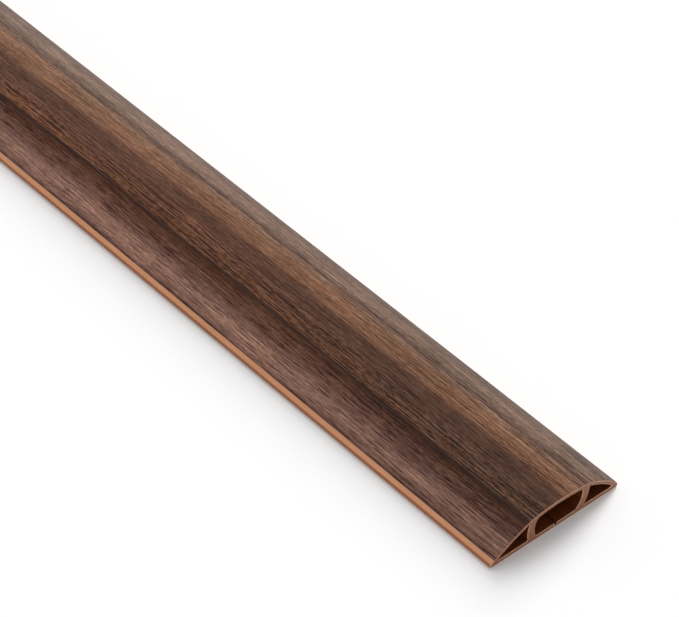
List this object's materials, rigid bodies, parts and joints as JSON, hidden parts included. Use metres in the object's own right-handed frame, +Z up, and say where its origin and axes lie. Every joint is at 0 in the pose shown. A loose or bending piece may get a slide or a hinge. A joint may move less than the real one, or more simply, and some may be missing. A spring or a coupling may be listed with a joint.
{
  "type": "floor cable cover",
  "caption": "Low arched floor strip that hides and protects cables: an extruded plastic profile with a slit cable channel and hollow flanks, under a dark wood-grain film.",
  "frame": {"origin": "on the floor, under the middle of the strip", "axes": "+X along the strip, +Y across it, +Z up from the floor"},
  "size_m": [1, 0.06, 0.013],
  "materials": {
    "caramel_pvc": "satin",
    "walnut_film": "embossed satin"
  },
  "bodies": {
    "root": {"pvc_profile": "caramel_pvc", "wood_grain_film": "walnut_film"}
  },
  "joints": []
}
